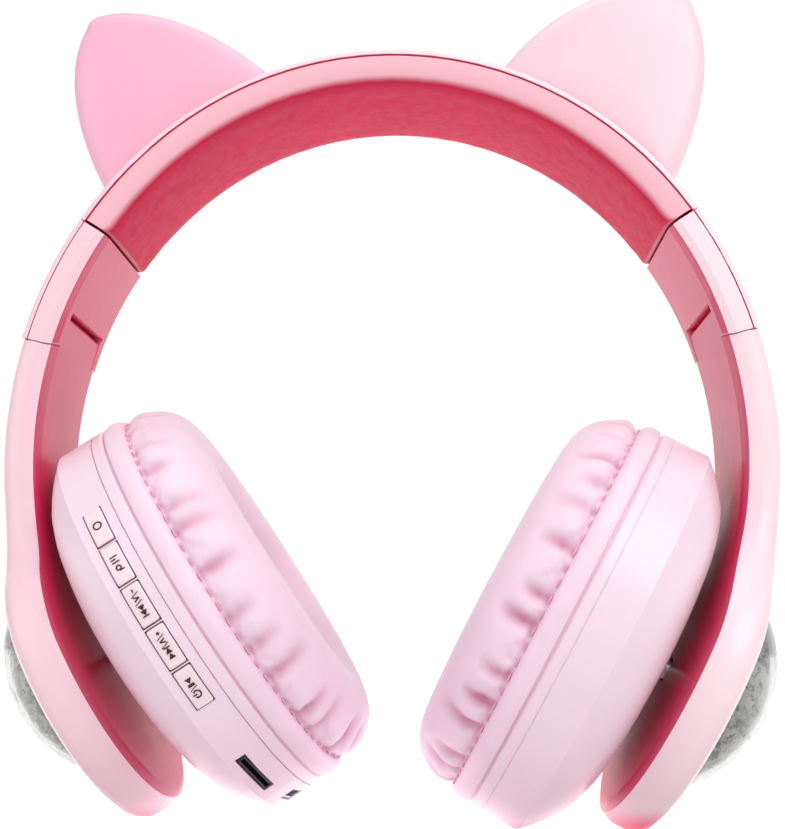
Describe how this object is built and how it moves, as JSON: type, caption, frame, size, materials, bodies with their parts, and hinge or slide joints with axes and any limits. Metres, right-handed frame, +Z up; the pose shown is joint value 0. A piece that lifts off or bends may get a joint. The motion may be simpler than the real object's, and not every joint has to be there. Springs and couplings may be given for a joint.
{
  "type": "over-ear gaming headset",
  "caption": "Folding over-ear headset with extending padded headband, pointed ornaments, tilting cups, domed light windows on the arms and a row of push buttons.",
  "frame": {"origin": "middle of the head space: the centre of the ellipse that the headband's outer face follows", "axes": "+Z up through the top of the headband, +X towards the cup without buttons, -Y towards the front, where the buttons face"},
  "size_m": [0.1512, 0.0817, 0.1719],
  "materials": {
    "shell_pink": "satin moulded plastic",
    "ear_pink": "satin moulded plastic",
    "button_pink": "satin moulded plastic with printed icons",
    "pad_pink": "soft leatherette",
    "steel": "satin",
    "bezel_grey": "satin",
    "dome_clear": "clear polished plastic",
    "reflector_silver": "crinkled mirror film",
    "board_green": "printed circuit board",
    "dark_plastic": "matt black",
    "liner_white": "self-lubricating plastic",
    "battery_silver": "foil pouch",
    "grille_fabric": "woven speaker cloth"
  },
  "bodies": {
    "headband": {"headband_shell": "shell_pink", "headband_pad": "pad_pink", "headband_spring": "steel", "ear_front_R": "ear_pink", "ear_back_R": "ear_pink", "ear_front_L": "ear_pink", "ear_back_L": "ear_pink"},
    "extension_R": {"slider_R": "steel", "slider_screw_R": "steel", "hinge_housing_R": "shell_pink", "hinge_cover_R": "shell_pink", "hinge_pin_R": "steel"},
    "arm_body_R": {"arm_R": "shell_pink", "ball_stud_R": "steel", "led_board_R": "board_green", "reflector_R": "reflector_silver", "dome_R": "dome_clear", "dome_bezel_R": "bezel_grey"},
    "pivot_R": {"pivot_liner_R": "liner_white"},
    "cup_body_R": {"cup_back_R": "shell_pink", "cup_front_R": "shell_pink", "cushion_R": "pad_pink", "driver_R": "dark_plastic", "driver_grille_R": "grille_fabric", "cup_screw_R1": "steel", "cup_screw_R2": "steel", "cup_screw_R3": "steel", "battery": "battery_silver"},
    "extension_L": {"slider_L": "steel", "slider_screw_L": "steel", "hinge_housing_L": "shell_pink", "hinge_cover_L": "shell_pink", "hinge_pin_L": "steel"},
    "arm_body_L": {"arm_L": "shell_pink", "ball_stud_L": "steel", "led_board_L": "board_green", "reflector_L": "reflector_silver", "dome_L": "dome_clear", "dome_bezel_L": "bezel_grey"},
    "pivot_L": {"pivot_liner_L": "liner_white"},
    "cup_body_L": {"cup_back_L": "shell_pink", "cup_front_L": "shell_pink", "cushion_L": "pad_pink", "driver_L": "dark_plastic", "driver_grille_L": "grille_fabric", "cup_screw_L1": "steel", "cup_screw_L2": "steel", "cup_screw_L3": "steel", "main_board": "board_green", "card_socket": "dark_plastic", "charge_socket": "steel", "audio_socket": "dark_plastic"},
    "button_light_body": {"button_light": "button_pink"},
    "button_mode_body": {"button_mode": "button_pink"},
    "button_previous_body": {"button_previous": "button_pink"},
    "button_next_body": {"button_next": "button_pink"},
    "button_power_body": {"button_power": "button_pink"}
  },
  "joints": [
    {"name": "extend_R", "type": "slide", "parent": "headband", "child": "extension_R", "axis": [0.6491, 0, -0.7607], "range_m": [0, 0.018]},
    {"name": "fold_R", "type": "hinge", "parent": "extension_R", "child": "arm_body_R", "pos_m": [0.06682, 0, 0.02531], "axis": [0, 1, 0], "range_deg": [0, 70], "deforming": ["cushion_R"]},
    {"name": "tilt_R", "type": "hinge", "parent": "arm_body_R", "child": "pivot_R", "pos_m": [0.04761, -0.00082, -0.03976], "axis": [0.0487, 0.9984, -0.0272], "range_deg": [-5, 2]},
    {"name": "swivel_R", "type": "hinge", "parent": "pivot_R", "child": "cup_body_R", "pos_m": [0.04761, -0.00082, -0.03976], "axis": [0.4879, 0, 0.8729], "range_deg": [-2, 8]},
    {"name": "extend_L", "type": "slide", "parent": "headband", "child": "extension_L", "axis": [-0.6491, 0, -0.7607], "range_m": [0, 0.018]},
    {"name": "fold_L", "type": "hinge", "parent": "extension_L", "child": "arm_body_L", "pos_m": [-0.06682, 0, 0.02531], "axis": [0, 1, 0], "range_deg": [-70, 0], "deforming": ["cushion_L"]},
    {"name": "tilt_L", "type": "hinge", "parent": "arm_body_L", "child": "pivot_L", "pos_m": [-0.04737, -0.00015, -0.03704], "axis": [0.0088, -0.9999, 0.0057], "range_deg": [-12, 1]},
    {"name": "swivel_L", "type": "hinge", "parent": "pivot_L", "child": "cup_body_L", "pos_m": [-0.04737, -0.00015, -0.03704], "axis": [-0.5402, 0, 0.8415], "range_deg": [-8, 4]},
    {"name": "press_light", "type": "slide", "parent": "cup_body_L", "child": "button_light_body", "axis": [0.2229, 0.904, -0.3647], "range_m": [0, 0.0004], "stiffness_N_per_m": 800},
    {"name": "press_mode", "type": "slide", "parent": "cup_body_L", "child": "button_mode_body", "axis": [0.118, 0.9721, -0.2027], "range_m": [0, 0.0004], "stiffness_N_per_m": 800},
    {"name": "press_previous", "type": "slide", "parent": "cup_body_L", "child": "button_previous_body", "axis": [0.0082, 0.9995, -0.0321], "range_m": [0, 0.0004], "stiffness_N_per_m": 800},
    {"name": "press_next", "type": "slide", "parent": "cup_body_L", "child": "button_next_body", "axis": [-0.102, 0.9849, 0.1398], "range_m": [0, 0.0004], "stiffness_N_per_m": 800},
    {"name": "press_power", "type": "slide", "parent": "cup_body_L", "child": "button_power_body", "axis": [-0.2079, 0.9291, 0.3059], "range_m": [0, 0.0004], "stiffness_N_per_m": 800}
  ]
}
